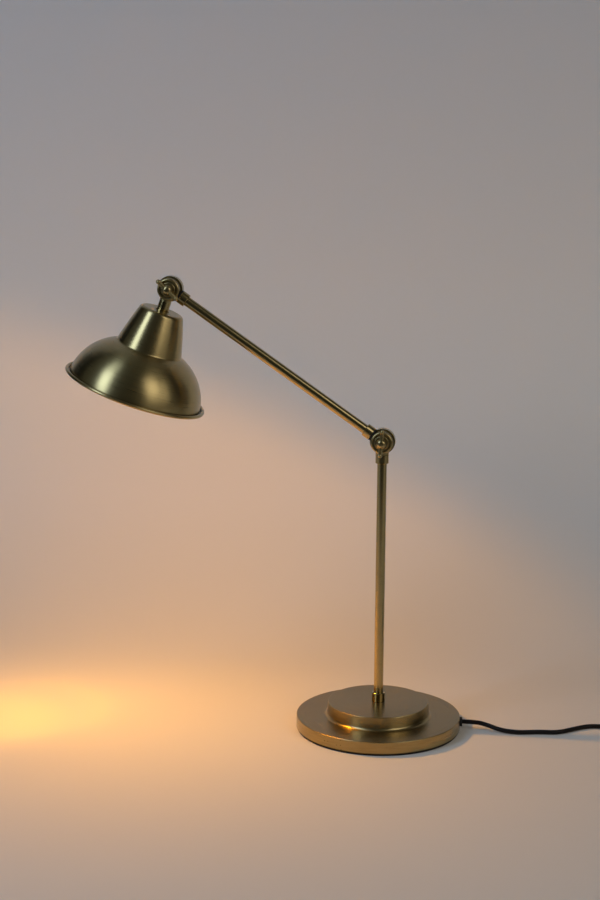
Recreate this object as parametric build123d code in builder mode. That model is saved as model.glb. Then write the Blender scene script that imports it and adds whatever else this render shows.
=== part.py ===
"""Swing arm desk lamp in antique brass.

Weighted two-tier base, fixed stem, one arm between two half-lap knuckles with thumb nuts, and a spun
domed shade. Millimetres, +Z up, origin on the table under the stem. The arm swings in the XZ plane with
the shade towards -X, and both knuckles turn about Y with their thumb nuts on the -Y side.
"""

import os
from math import cos, pi, radians, sin, sqrt, tan

from build123d import *

# Pose of the lamp
ELBOW_HEIGHT = 357.0
ARM_LENGTH = 311.5
ARM_RISE = 34.6
SHADE_TILT = 19.5
ELBOW_BAR_TURN = -5.0
HEAD_BAR_TURN = 47.0

# Base
BASE_RADIUS = 100.0
BASE_WALL = 1.5
LOWER_TIER_HEIGHT = 15.1
UPPER_TIER_RADIUS = 61.3
UPPER_TIER_HEIGHT = 16.4
TIER_FLARE = 1.0
TIER_FILLET = 4.0
TIER_EDGE = 0.9
PAD_THICKNESS = 2.0
PAD_INSET = 1.2
WEIGHT_HEIGHT = 11.5
WEIGHT_GAP = 0.7
HUB_WALL = 5.0
HUB_WEB = 6.0
LOCK_NUT_FLATS = 17.0
LOCK_NUT_HEIGHT = 5.0
LOCK_WASHER_RADIUS = 11.0
LOCK_WASHER_THICKNESS = 1.5
NUT_ROOM = 3.0

# Tubes, collars and threaded ends
TUBE_RADIUS = 5.75
TUBE_WALL = 1.0
TUBE_GRIP = 5.0
COLLAR_RADIUS = 8.0
COLLAR_EDGE = 0.4
FOOT_COLLAR_LENGTH = 11.5
STEM_COLLAR_LENGTH = 10.5
ARM_COLLAR_LENGTH = 9.6
BAND_RADIUS = 7.7
BAND_THICKNESS = 1.8
STUB_RADIUS = 5.0
WIRE_BORE = 3.0
INNER_CABLE_RADIUS = 2.5
CABLE_BEND = 10.0
WIRE_BORE_START = 12.0
FIT = 0.05

# Knuckles
FRONT_RADIUS = 13.4
REAR_RADIUS = 15.2
HALF_THICKNESS = 11.0
RIM_ROUND = 2.0
LAP_GAP = 0.8
LAP_CLEARANCE = 0.3
RECESS_RADIUS = 10.4
RECESS_DEPTH = 1.6
RECESS_ROUND = 0.8
RING_WASHER_RADIUS = 8.6
RING_WASHER_THICKNESS = 2.4
RING_WASHER_ROUND = 0.8
FRICTION_WASHER_RADIUS = 11.5
BOLT_RADIUS = 3.0
BOLT_HEAD_FLATS = 10.0
BOLT_HEAD_HEIGHT = 4.0
NUT_HUB_RADIUS = 6.2
NUT_HUB_TOP_RADIUS = 5.9
NUT_HUB_HEIGHT = 8.0
NUT_HUB_ROUND = 4.8
NUT_END_WALL = 1.6
BAR_RADIUS = 2.5
BAR_REACH = 14.2
BAR_HEIGHT = 4.2
KNOB_RADIUS = 2.9

# Neck and shade, measured along the shade's axis from the head pivot
NECK_RADIUS = 7.2
NECK_RING_RADIUS = 8.2
NECK_RING_THICKNESS = 1.2
SHADE_TOP = 27.4
SHADE_TOP_RADIUS = 26.1
SHADE_TOP_ROUND = 5.2
SHADE_CREASE = 76.3
SHADE_CREASE_RADIUS = 40.4
SHADE_CREASE_ROUND = 3.0
SHADE_MIDDLE = 97.3
CONE_SWELL = 0.6
SHADE_RIM = 130.0
SHADE_RIM_RADIUS = 82.1
DOME_CURVE = 65.2
SHADE_WALL = 1.0
BEAD_RADIUS = 2.1
BEAD_OFFSET = 3.5
FLANGE_THICKNESS = 1.1

# Lampholder and bulb, from the shade's top down
SHADE_NUT_FLATS = 15.0
SHADE_NUT_HEIGHT = 3.5
HOLDER_RADIUS = 14.0
HOLDER_CAP_HEIGHT = 10.0
HOLDER_CAP_TOP_RADIUS = 9.0
HOLDER_LENGTH = 30.0
HOLDER_RING_HEIGHT = 4.0
HOLDER_RING_STEP = 1.5
NIPPLE_ENGAGE = 4.0
BULB_CAP_RADIUS = 7.0
BULB_CAP_LENGTH = 24.0
BULB_COLLAR = 2.0
BULB_NECK_RADIUS = 9.5
BULB_NECK_ROUND = 5.0
BULB_RADIUS = 22.5
BULB_LENGTH = 55.0
BULB_WALL = 0.9

# Mains lead
CORD_DIAMETER = 5.5
CORD_EXIT_TURN = 4.5
CORD_EXIT_HEIGHT = 9.5
GROMMET_RADIUS = 5.8
GROMMET_FLANGE = 3.0
GROMMET_NECK_RADIUS = 4.4
GROMMET_TAIL = 4.0
SWITCH_START = 318.0
SWITCH_LENGTH = 58.0
SWITCH_WIDTH = 24.0
SWITCH_HEIGHT = 17.0
SWITCH_END_WIDTH = 12.0
SWITCH_END_TAPER = 13.0
SWITCH_ROUND = 3.0
SWITCH_Y = 32.5
SWITCH_SPLIT = 7.5
ROCKER_REACH = 8.8
ROCKER_WIDTH = 9.0
ROCKER_THROW = 14.0
ROCKER_DROP = 3.0
ROCKER_CLEARANCE = 0.3
ROCKER_PIN_RADIUS = 1.2
ROCKER_PIN_LENGTH = 1.5
COIL_OUTER_RADIUS = 42.1
COIL_GAP = 0.45
COIL_RUN_IN = 39.0
COIL_HALF_TURNS = 7
TAIL_RUN = 48.0
TIE_WIDTH = 8.0
TIE_THICKNESS = 0.8
TIE_CLEARANCE = 0.5
PLUG_WIDTH = 35.3
PLUG_HEIGHT = 13.7
PLUG_RELIEF = 22.0
PLUG_RELIEF_RADIUS = 3.3
PLUG_TAPER = 20.0
PLUG_GRIP = 16.0
PLUG_SHOULDER_WIDTH = 31.0
PLUG_TAIL_RADIUS = 4.6
PIN_RADIUS = 2.0
PIN_LENGTH = 19.0
PIN_SPACING = 18.6
PIN_SLEEVE = 9.0
PIN_SEAT = 6.0

STAND = (Align.CENTER, Align.CENTER, Align.MIN)


def member_plane(pivot, lean):
    """Plane on a pivot: local Z runs out along the member, local Y is the hinge axis."""
    turn = radians(lean)
    return Plane(origin=pivot, x_dir=(cos(turn), 0, sin(turn)), z_dir=(-sin(turn), 0, cos(turn)))


def profile_plane(member):
    """Plane for a turned profile: local X is the radius and local Y runs along the member."""
    return Plane(origin=member.origin, x_dir=member.x_dir, z_dir=-member.y_dir)


def hinge_plane(member):
    """Plane across the hinge axis: local Z is the hinge axis."""
    return Plane(origin=member.origin, x_dir=member.x_dir, z_dir=member.y_dir)


def spin_axis(member):
    """The member's own centre line."""
    return Axis(member.origin, member.z_dir)


def hinge_axis(member):
    """The hinge's centre line."""
    return Axis(member.origin, member.y_dir)


def keep(part, name):
    """Label a finished piece and write it out."""
    part.label = name
    export_step(part, f"parts/{name}.step")
    return part


# Places that several pieces share
base_floor = PAD_THICKNESS
lower_top = base_floor + LOWER_TIER_HEIGHT
base_top = lower_top + UPPER_TIER_HEIGHT
lap = LAP_GAP / 2
front_seat = REAR_RADIUS + LAP_CLEARANCE
rear_seat = FRONT_RADIUS + LAP_CLEARANCE
ring_floor = HALF_THICKNESS - RECESS_DEPTH + FIT
nut_base = ring_floor + RING_WASHER_THICKNESS + FIT
bolt_clear = BOLT_RADIUS + FIT
tube_bore = TUBE_RADIUS - TUBE_WALL
stub_reach_arm = BAND_THICKNESS + ARM_COLLAR_LENGTH - TUBE_GRIP
stub_reach_stem = STEM_COLLAR_LENGTH - TUBE_GRIP

elbow = Vector(0, 0, ELBOW_HEIGHT)
rise = radians(ARM_RISE)
head = elbow + Vector(-cos(rise), 0, sin(rise)) * ARM_LENGTH
stem_end = member_plane(elbow, 180)
arm_foot = member_plane(elbow, 90 - ARM_RISE)
arm_top = member_plane(head, 270 - ARM_RISE)
neck = member_plane(head, 180 - SHADE_TILT)

os.makedirs("parts", exist_ok=True)


# Base: spun cover, weight, pad and the clamp through the middle
with BuildPart() as base_cover:
    with BuildSketch(Plane.XZ):
        with BuildLine():
            FilletPolyline(
                (0, base_floor),
                (BASE_RADIUS, base_floor),
                (BASE_RADIUS, lower_top),
                (UPPER_TIER_RADIUS + TIER_FLARE, lower_top),
                (UPPER_TIER_RADIUS, base_top),
                (0, base_top),
                radius=(0, 0, TIER_EDGE, TIER_FILLET, TIER_EDGE, 0),
                close=True,
            )
        make_face()
    revolve(axis=Axis.Z)
    offset(amount=-BASE_WALL, openings=base_cover.faces().sort_by(Axis.Z)[0])
    with Locations((0, 0, base_top)):
        Hole(STUB_RADIUS + FIT)
    with BuildSketch(Plane.YZ.rotated((0, 0, CORD_EXIT_TURN))):
        with Locations((0, CORD_EXIT_HEIGHT)):
            Circle(GROMMET_NECK_RADIUS + FIT)
    extrude(amount=BASE_RADIUS, mode=Mode.SUBTRACT)

hub_top = base_top - BASE_WALL
clamp_top = hub_top - HUB_WEB
nut_top = clamp_top - LOCK_WASHER_THICKNESS
nipple_start = nut_top - LOCK_NUT_HEIGHT - FIT
nipple_end = base_top + FOOT_COLLAR_LENGTH - TUBE_GRIP
hub_bore = LOCK_WASHER_RADIUS + NUT_ROOM
slot_width = 2 * GROMMET_NECK_RADIUS + 2 * LAP_CLEARANCE

with BuildPart() as base_weight:
    with BuildSketch(Plane.XY.offset(base_floor)):
        Circle(BASE_RADIUS - BASE_WALL - WEIGHT_GAP)
    extrude(amount=WEIGHT_HEIGHT)
    with BuildSketch(Plane.XY.offset(base_floor)):
        Circle(hub_bore + HUB_WALL)
    extrude(amount=hub_top - base_floor)
    with BuildSketch(Plane.XY.offset(base_floor)):
        Circle(hub_bore)
    extrude(amount=clamp_top - base_floor, mode=Mode.SUBTRACT)
    with Locations((0, 0, hub_top)):
        Hole(STUB_RADIUS + FIT)
    with BuildSketch(Plane.YZ.rotated((0, 0, CORD_EXIT_TURN))):
        with Locations((0, CORD_EXIT_HEIGHT)):
            Rectangle(slot_width, slot_width)
    extrude(amount=BASE_RADIUS, mode=Mode.SUBTRACT)

with BuildPart() as base_pad:
    Cylinder(BASE_RADIUS - PAD_INSET, PAD_THICKNESS, align=STAND)

with BuildPart(Plane.XY.offset(nut_top)) as base_lock_washer:
    Cylinder(LOCK_WASHER_RADIUS, LOCK_WASHER_THICKNESS, align=STAND)
    Hole(STUB_RADIUS + FIT)

with BuildPart() as base_lock_nut:
    with BuildSketch(Plane.XY.offset(nut_top)):
        RegularPolygon(LOCK_NUT_FLATS / 2, 6, major_radius=False)
        Circle(STUB_RADIUS + FIT, mode=Mode.SUBTRACT)
    extrude(amount=-LOCK_NUT_HEIGHT)

with BuildPart(Plane.XY.offset(nipple_start)) as base_nipple:
    Cylinder(STUB_RADIUS, nipple_end - nipple_start, align=STAND)
    Hole(WIRE_BORE)


def collar(seat, length):
    """Turned collar: its near end takes a threaded stub, its far end a tube."""
    with BuildPart(seat) as ring:
        Cylinder(COLLAR_RADIUS, length, align=STAND)
        chamfer(ring.edges().filter_by(GeomType.CIRCLE), COLLAR_EDGE)
        with Locations((0, 0, length)):
            CounterBoreHole(STUB_RADIUS + FIT, TUBE_RADIUS + FIT, TUBE_GRIP)
    return ring.part


def tube(seat, length):
    """Plain tube standing on its seat."""
    with BuildPart(seat) as pipe:
        Cylinder(TUBE_RADIUS, length, align=STAND)
        Hole(tube_bore)
    return pipe.part


def washer(seat, radius, bore, thickness):
    """Flat ring standing on its seat."""
    with BuildPart(seat) as ring:
        Cylinder(radius, thickness, align=STAND)
        Hole(bore)
    return ring.part


# Stem
stem_start = base_top + FOOT_COLLAR_LENGTH - TUBE_GRIP
stem_stop = ELBOW_HEIGHT - front_seat - stub_reach_stem
stem_foot_collar = collar(Plane.XY.offset(base_top), FOOT_COLLAR_LENGTH)
stem_tube = tube(Plane.XY.offset(stem_start + FIT), stem_stop - stem_start - 2 * FIT)
stem_top_collar = collar(stem_end.offset(front_seat), STEM_COLLAR_LENGTH)


# Knuckles
def knuckle_half(member, side, radius, shoulder, seat, stub_reach):
    """One half of a half-lap knuckle: side -1 is the front half, +1 the rear half."""
    face = side * HALF_THICKNESS
    with BuildPart() as half:
        with BuildSketch(member):
            with BuildLine():
                FilletPolyline(
                    (0, side * lap),
                    (radius, side * lap),
                    (radius, face),
                    (0, face),
                    radius=(0, 0, RIM_ROUND, 0),
                    close=True,
                )
            make_face()
        revolve(axis=hinge_axis(member))
        with BuildSketch(member):
            Circle(shoulder)
        extrude(amount=seat)
        split(
            bisect_by=hinge_plane(member).offset(side * lap),
            keep=Keep.TOP if side > 0 else Keep.BOTTOM,
        )
        with BuildSketch(member.offset(seat)):
            Circle(COLLAR_RADIUS + LAP_CLEARANCE)
        extrude(amount=radius, mode=Mode.SUBTRACT)
        with BuildSketch(member.offset(seat)):
            Circle(STUB_RADIUS)
        extrude(amount=stub_reach - FIT)
        with BuildSketch(member.offset(WIRE_BORE_START)):
            Circle(WIRE_BORE)
        extrude(amount=seat + stub_reach, mode=Mode.SUBTRACT)
        with BuildSketch(hinge_plane(member)):
            Circle(bolt_clear)
        extrude(amount=face, mode=Mode.SUBTRACT)
        if side < 0:
            with BuildSketch(hinge_plane(member).offset(face)):
                Circle(RECESS_RADIUS)
            extrude(amount=RECESS_DEPTH, mode=Mode.SUBTRACT)
            recess_edges = half.edges(Select.LAST).filter_by(GeomType.CIRCLE)
            fillet(recess_edges.group_by(Axis.Y)[0], RECESS_ROUND)
        else:
            with BuildSketch(hinge_plane(member).offset(face)):
                RegularPolygon(BOLT_HEAD_FLATS / 2 + FIT, 6, major_radius=False)
            extrude(amount=-BOLT_HEAD_HEIGHT, mode=Mode.SUBTRACT)
    return half.part


def ring_washer(member):
    """Raised washer in the front half's recess, under the thumb nut."""
    with BuildPart(hinge_plane(member).offset(-ring_floor)) as ring:
        Cylinder(RING_WASHER_RADIUS, RING_WASHER_THICKNESS, align=(Align.CENTER, Align.CENTER, Align.MAX))
        fillet(ring.edges().filter_by(GeomType.CIRCLE).sort_by(Axis.Y)[0], RING_WASHER_ROUND)
        Hole(bolt_clear)
    return ring.part


def pivot_bolt(member):
    """Hexagon bolt from the rear half's pocket into the thumb nut."""
    head_floor = HALF_THICKNESS - BOLT_HEAD_HEIGHT + FIT
    with BuildPart() as bolt:
        with BuildSketch(hinge_plane(member).offset(head_floor)):
            RegularPolygon(BOLT_HEAD_FLATS / 2, 6, major_radius=False)
        extrude(amount=BOLT_HEAD_HEIGHT - FIT)
        with BuildSketch(hinge_plane(member).offset(head_floor)):
            Circle(BOLT_RADIUS)
        extrude(amount=-(head_floor + nut_base + NUT_HUB_HEIGHT - NUT_END_WALL - FIT))
    return bolt.part


def thumb_nut(member, turn):
    """Domed nut tightened by hand: a cross bar with a knob at each end runs through its hub."""
    lean = radians(turn)
    bar_way = Vector(-sin(lean), 0, cos(lean))
    bar_middle = member.origin - member.y_dir * (nut_base + BAR_HEIGHT)
    bar_plane = Plane(origin=bar_middle, x_dir=member.y_dir, z_dir=bar_way)
    with BuildPart() as nut:
        with BuildSketch(member):
            with BuildLine():
                FilletPolyline(
                    (0, -nut_base),
                    (NUT_HUB_RADIUS, -nut_base),
                    (NUT_HUB_TOP_RADIUS, -nut_base - NUT_HUB_HEIGHT),
                    (0, -nut_base - NUT_HUB_HEIGHT),
                    radius=(0, 0, NUT_HUB_ROUND, 0),
                    close=True,
                )
            make_face()
        revolve(axis=hinge_axis(member))
        with BuildSketch(bar_plane):
            Circle(BAR_RADIUS)
        extrude(amount=BAR_REACH, both=True)
        with Locations(bar_plane.offset(BAR_REACH), bar_plane.offset(-BAR_REACH)):
            Sphere(KNOB_RADIUS)
        with BuildSketch(hinge_plane(member).offset(-nut_base)):
            Circle(bolt_clear)
        extrude(amount=-(NUT_HUB_HEIGHT - NUT_END_WALL), mode=Mode.SUBTRACT)
    return nut.part


friction_seat = -(lap - FIT)
friction_thickness = LAP_GAP - 2 * FIT
elbow_front_half = knuckle_half(stem_end, -1, FRONT_RADIUS, COLLAR_RADIUS, front_seat, stub_reach_stem)
elbow_rear_half = knuckle_half(arm_foot, 1, REAR_RADIUS, BAND_RADIUS, rear_seat, stub_reach_arm)
head_rear_half = knuckle_half(arm_top, 1, REAR_RADIUS, BAND_RADIUS, rear_seat, stub_reach_arm)
neck_stub = SHADE_TOP - front_seat - NECK_RING_THICKNESS - NIPPLE_ENGAGE
head_front_half = knuckle_half(neck, -1, FRONT_RADIUS, NECK_RADIUS, front_seat, neck_stub)
elbow_friction_washer = washer(
    hinge_plane(arm_foot).offset(friction_seat), FRICTION_WASHER_RADIUS, bolt_clear, friction_thickness
)
head_friction_washer = washer(
    hinge_plane(arm_top).offset(friction_seat), FRICTION_WASHER_RADIUS, bolt_clear, friction_thickness
)
elbow_ring_washer = ring_washer(arm_foot)
head_ring_washer = ring_washer(arm_top)
elbow_pivot_bolt = pivot_bolt(arm_foot)
head_pivot_bolt = pivot_bolt(arm_top)
elbow_thumb_nut = thumb_nut(arm_foot, ELBOW_BAR_TURN)
head_thumb_nut = thumb_nut(arm_top, HEAD_BAR_TURN)

# Arm
collar_seat = rear_seat + BAND_THICKNESS
tube_seat = rear_seat + stub_reach_arm
arm_lower_band = washer(arm_foot.offset(rear_seat), BAND_RADIUS, STUB_RADIUS + FIT, BAND_THICKNESS)
arm_upper_band = washer(arm_top.offset(rear_seat), BAND_RADIUS, STUB_RADIUS + FIT, BAND_THICKNESS)
arm_lower_collar = collar(arm_foot.offset(collar_seat), ARM_COLLAR_LENGTH)
arm_upper_collar = collar(arm_top.offset(collar_seat), ARM_COLLAR_LENGTH)
arm_tube = tube(arm_foot.offset(tube_seat + FIT), ARM_LENGTH - 2 * tube_seat - 2 * FIT)

# Neck and shade
neck_end = SHADE_TOP - NECK_RING_THICKNESS
with BuildPart(neck.offset(front_seat)) as shade_neck:
    Cylinder(NECK_RADIUS, neck_end - front_seat, align=STAND)
    Hole(STUB_RADIUS + FIT)

neck_ring = washer(neck.offset(neck_end), NECK_RING_RADIUS, STUB_RADIUS + FIT, NECK_RING_THICKNESS)

with BuildPart() as shade_form:
    with BuildSketch(profile_plane(neck)) as bell:
        with BuildLine():
            top = Line((0, SHADE_TOP), (SHADE_TOP_RADIUS, SHADE_TOP))
            crease = Vector(SHADE_CREASE_RADIUS, SHADE_CREASE)
            cone_way = (crease - top @ 1).normalized()
            swell = Vector(cone_way.Y, -cone_way.X) * CONE_SWELL
            cone = ThreePointArc(top @ 1, (top @ 1 + crease) / 2 + swell, crease)
            dome = RadiusArc(cone @ 1, (SHADE_RIM_RADIUS, SHADE_RIM), -DOME_CURVE)
            floor = Line(dome @ 1, (0, SHADE_RIM))
            Line(floor @ 1, top @ 0)
        make_face()
        fillet(bell.vertices().sort_by_distance(top @ 1)[0], SHADE_TOP_ROUND)
        fillet(bell.vertices().sort_by_distance(crease)[0], SHADE_CREASE_ROUND)
    revolve(axis=spin_axis(neck))
    mouth = shade_form.faces().filter_by(GeomType.PLANE).sort_by(spin_axis(neck))[-1]
    offset(amount=-SHADE_WALL, openings=mouth)
    with BuildSketch(neck.offset(SHADE_TOP)):
        Circle(STUB_RADIUS + FIT)
    extrude(amount=SHADE_NUT_HEIGHT, mode=Mode.SUBTRACT)

with BuildPart() as shade_cap:
    add(shade_form.part)
    split(bisect_by=neck.offset(SHADE_CREASE), keep=Keep.BOTTOM)

with BuildPart() as shade_shoulder:
    add(shade_form.part)
    split(bisect_by=neck.offset(SHADE_CREASE), keep=Keep.TOP)
    split(bisect_by=neck.offset(SHADE_MIDDLE), keep=Keep.BOTTOM)

with BuildPart() as shade_dome:
    add(shade_form.part)
    split(bisect_by=neck.offset(SHADE_MIDDLE), keep=Keep.TOP)

rim_inner = SHADE_RIM_RADIUS - SHADE_WALL
with BuildPart() as shade_rim:
    with BuildSketch(profile_plane(neck)):
        with Locations((SHADE_RIM_RADIUS + BEAD_OFFSET, SHADE_RIM)):
            Circle(BEAD_RADIUS)
        with Locations((rim_inner, SHADE_RIM + BEAD_RADIUS)):
            Rectangle(BEAD_OFFSET + SHADE_WALL, FLANGE_THICKNESS, align=(Align.MIN, Align.MAX))
        with Locations((rim_inner, SHADE_RIM)):
            Rectangle(SHADE_WALL, BEAD_RADIUS, align=(Align.MIN, Align.MIN))
    revolve(axis=spin_axis(neck))

# Lampholder and bulb
shade_floor = SHADE_TOP + SHADE_WALL
holder_top = shade_floor + SHADE_NUT_HEIGHT
holder_seat = holder_top + HOLDER_CAP_HEIGHT
holder_end = holder_seat + HOLDER_LENGTH
nipple_from = front_seat + neck_stub
bulb_end = holder_end + BULB_LENGTH

with BuildPart(neck.offset(nipple_from)) as shade_nipple:
    Cylinder(STUB_RADIUS, holder_top + NIPPLE_ENGAGE - nipple_from, align=STAND)
    Hole(WIRE_BORE)

with BuildPart() as shade_lock_nut:
    with BuildSketch(neck.offset(shade_floor)):
        RegularPolygon(SHADE_NUT_FLATS / 2, 6, major_radius=False)
        Circle(STUB_RADIUS + FIT, mode=Mode.SUBTRACT)
    extrude(amount=SHADE_NUT_HEIGHT)

with BuildPart() as lampholder_cap:
    with BuildSketch(profile_plane(neck)):
        with BuildLine():
            Polyline(
                (0, holder_top),
                (HOLDER_CAP_TOP_RADIUS, holder_top),
                (HOLDER_RADIUS, holder_seat - HOLDER_CAP_HEIGHT / 2),
                (HOLDER_RADIUS, holder_seat),
                (0, holder_seat),
                close=True,
            )
        make_face()
    revolve(axis=spin_axis(neck))
    with BuildSketch(neck.offset(holder_top)):
        Circle(STUB_RADIUS + FIT)
    extrude(amount=NIPPLE_ENGAGE, mode=Mode.SUBTRACT)
    with BuildSketch(neck.offset(holder_top)):
        Circle(WIRE_BORE)
    extrude(amount=HOLDER_CAP_HEIGHT, mode=Mode.SUBTRACT)

with BuildPart(neck.offset(holder_seat)) as lampholder_body:
    Cylinder(HOLDER_RADIUS, HOLDER_LENGTH, align=STAND)
    with Locations((0, 0, HOLDER_LENGTH - HOLDER_RING_HEIGHT)):
        Cylinder(HOLDER_RADIUS + HOLDER_RING_STEP, HOLDER_RING_HEIGHT, align=STAND)
    with Locations((0, 0, HOLDER_LENGTH)):
        Hole(BULB_CAP_RADIUS + FIT, depth=BULB_CAP_LENGTH)

bulb_seat = holder_end + BULB_COLLAR
with BuildPart(neck.offset(bulb_seat - BULB_CAP_LENGTH)) as bulb_cap:
    Cylinder(BULB_CAP_RADIUS, BULB_CAP_LENGTH, align=STAND)
    with Locations((0, 0, BULB_CAP_LENGTH - BULB_COLLAR)):
        Cylinder(BULB_NECK_RADIUS, BULB_COLLAR, align=STAND)

bulb_middle = bulb_end - BULB_RADIUS


def bulb_form(inset):
    """Solid bulb shape with its skin set in by an amount."""
    with BuildPart(neck.offset(bulb_middle)) as form:
        Sphere(BULB_RADIUS - inset)
        with Locations((0, 0, bulb_seat - bulb_middle)):
            Cylinder(BULB_NECK_RADIUS - inset, bulb_middle - bulb_seat, align=STAND)
        mouth_edges = form.faces().filter_by(GeomType.PLANE).edges()
        fillet(form.edges().filter_by(GeomType.CIRCLE) - mouth_edges, BULB_NECK_ROUND + inset)
    return form.part


with BuildPart() as bulb_glass:
    add(bulb_form(0))
    add(bulb_form(BULB_WALL), mode=Mode.SUBTRACT)


def cable_tube(route, radii, radius):
    """Round cable along straight runs joined by tangent arcs."""
    with BuildPart() as cable:
        with BuildLine() as path:
            FilletPolyline(*route, radius=radii)
        with BuildSketch(Plane(origin=path.wire() @ 0, z_dir=path.wire() % 0)):
            Circle(radius)
        sweep(path=path.wire())
    return cable.part, path.wire().length


# Inner cable
exit_turn = radians(CORD_EXIT_TURN)
exit_way = Vector(cos(exit_turn), sin(exit_turn), 0)
grommet_inner = BASE_RADIUS - BASE_WALL - GROMMET_TAIL
stem_cable = cable_tube(
    [
        exit_way * grommet_inner + Vector(0, 0, CORD_EXIT_HEIGHT),
        Vector(0, 0, CORD_EXIT_HEIGHT),
        Vector(0, 0, ELBOW_HEIGHT - front_seat),
    ],
    [CABLE_BEND],
    INNER_CABLE_RADIUS,
)[0]
with BuildPart(arm_foot.offset(front_seat)) as arm_cable:
    Cylinder(INNER_CABLE_RADIUS, ARM_LENGTH - 2 * front_seat, align=STAND)
with BuildPart(neck.offset(front_seat)) as neck_cable:
    Cylinder(INNER_CABLE_RADIUS, holder_seat - front_seat, align=STAND)

# Mains lead from the grommet to the switch
with BuildPart() as cable_grommet:
    with BuildSketch(Plane.XZ.rotated((0, 0, CORD_EXIT_TURN))):
        with BuildLine():
            Polyline(
                (grommet_inner, CORD_EXIT_HEIGHT),
                (grommet_inner, CORD_EXIT_HEIGHT + GROMMET_NECK_RADIUS),
                (BASE_RADIUS, CORD_EXIT_HEIGHT + GROMMET_NECK_RADIUS),
                (BASE_RADIUS, CORD_EXIT_HEIGHT + GROMMET_RADIUS),
                (BASE_RADIUS + GROMMET_FLANGE, CORD_EXIT_HEIGHT + GROMMET_RADIUS),
                (BASE_RADIUS + GROMMET_FLANGE, CORD_EXIT_HEIGHT),
                close=True,
            )
        make_face()
    revolve(axis=Axis((0, 0, CORD_EXIT_HEIGHT), exit_way))

cord_radius = CORD_DIAMETER / 2
cord_start = exit_way * (BASE_RADIUS + GROMMET_FLANGE) + Vector(0, 0, CORD_EXIT_HEIGHT)
lead_route = [
    cord_start,
    Vector(120.0, 9.44, CORD_EXIT_HEIGHT),
    Vector(134.0, 7.0, 7.0),
    Vector(150.0, 0.0, 3.8),
    Vector(171.0, -2.5, 2.9),
    Vector(196.0, 4.0, 2.9),
    Vector(219.0, 4.5, 2.9),
    Vector(238.0, 20.0, 2.9),
    Vector(258.0, 35.0, 2.9),
    Vector(284.0, 33.0, 2.9),
    Vector(304.0, SWITCH_Y, SWITCH_SPLIT),
    Vector(SWITCH_START, SWITCH_Y, SWITCH_SPLIT),
]


def bend_radii(route):
    """Radius of the arc at each inner point, as large as its two runs allow."""
    radii = []
    for before, point, after in zip(route, route[1:], route[2:]):
        turn = radians((point - before).get_angle(after - point))
        radii.append(0.45 * min((point - before).length, (after - point).length) / tan(turn / 2))
    return radii


lead_radii = bend_radii(lead_route)
cord_lead, lead_length = cable_tube(lead_route, lead_radii, cord_radius)
print("lead radii", [round(r, 1) for r in lead_radii])
print("lead volume over section times length", cord_lead.volume / (pi * cord_radius**2 * lead_length))

# Inline switch
switch_end = SWITCH_START + SWITCH_LENGTH
switch_middle = SWITCH_START + SWITCH_LENGTH / 2


def switch_shell(bottom, height, outer_face):
    """One half of the switch case: pointed ends in plan, rounded outer edges."""
    half_end = SWITCH_END_WIDTH / 2
    half_width = SWITCH_WIDTH / 2
    with BuildPart() as shell:
        with BuildSketch(Plane.XY.offset(bottom)):
            with BuildLine():
                Polyline(
                    (SWITCH_START, SWITCH_Y - half_end),
                    (SWITCH_START + SWITCH_END_TAPER, SWITCH_Y - half_width),
                    (switch_end - SWITCH_END_TAPER, SWITCH_Y - half_width),
                    (switch_end, SWITCH_Y - half_end),
                    (switch_end, SWITCH_Y + half_end),
                    (switch_end - SWITCH_END_TAPER, SWITCH_Y + half_width),
                    (SWITCH_START + SWITCH_END_TAPER, SWITCH_Y + half_width),
                    (SWITCH_START, SWITCH_Y + half_end),
                    close=True,
                )
            make_face()
        extrude(amount=height)
        fillet(shell.faces().sort_by(Axis.Z)[outer_face].edges(), SWITCH_ROUND)
    return shell.part


switch_lower_shell = switch_shell(0, SWITCH_SPLIT, 0)
pivot_height = SWITCH_HEIGHT - ROCKER_DROP
room = ROCKER_CLEARANCE
with BuildPart() as switch_upper_shell:
    add(switch_shell(SWITCH_SPLIT, SWITCH_HEIGHT - SWITCH_SPLIT, -1))
    with BuildSketch(Plane.XY.offset(SWITCH_HEIGHT)):
        with Locations((switch_middle, SWITCH_Y)):
            Rectangle(2 * (ROCKER_REACH + room), ROCKER_WIDTH + 2 * room)
    extrude(amount=-(SWITCH_HEIGHT - SWITCH_SPLIT), mode=Mode.SUBTRACT)
    with BuildSketch(Plane.XZ.offset(-SWITCH_Y)):
        with Locations((switch_middle, pivot_height)):
            Circle(ROCKER_PIN_RADIUS + FIT)
    extrude(amount=ROCKER_WIDTH / 2 + ROCKER_PIN_LENGTH + room, both=True, mode=Mode.SUBTRACT)

with BuildPart() as switch_rocker:
    with BuildSketch(Plane.XZ.offset(-SWITCH_Y)):
        with Locations((switch_middle, pivot_height)):
            Circle(ROCKER_REACH)
        with BuildLine():
            tilt = radians(ROCKER_THROW)
            crown = (switch_middle, SWITCH_HEIGHT)
            high = ROCKER_REACH * tan(tilt)
            Polyline(
                (switch_middle - ROCKER_REACH, SWITCH_HEIGHT),
                crown,
                (switch_middle + ROCKER_REACH, SWITCH_HEIGHT + high),
                (switch_middle + ROCKER_REACH, pivot_height - ROCKER_DROP),
                (switch_middle - ROCKER_REACH, pivot_height - ROCKER_DROP),
                close=True,
            )
        make_face(mode=Mode.INTERSECT)
    extrude(amount=ROCKER_WIDTH / 2, both=True)
    with BuildSketch(Plane.XZ.offset(-SWITCH_Y)):
        with Locations((switch_middle, pivot_height)):
            Circle(ROCKER_PIN_RADIUS)
    extrude(amount=ROCKER_WIDTH / 2 + ROCKER_PIN_LENGTH, both=True)

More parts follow.
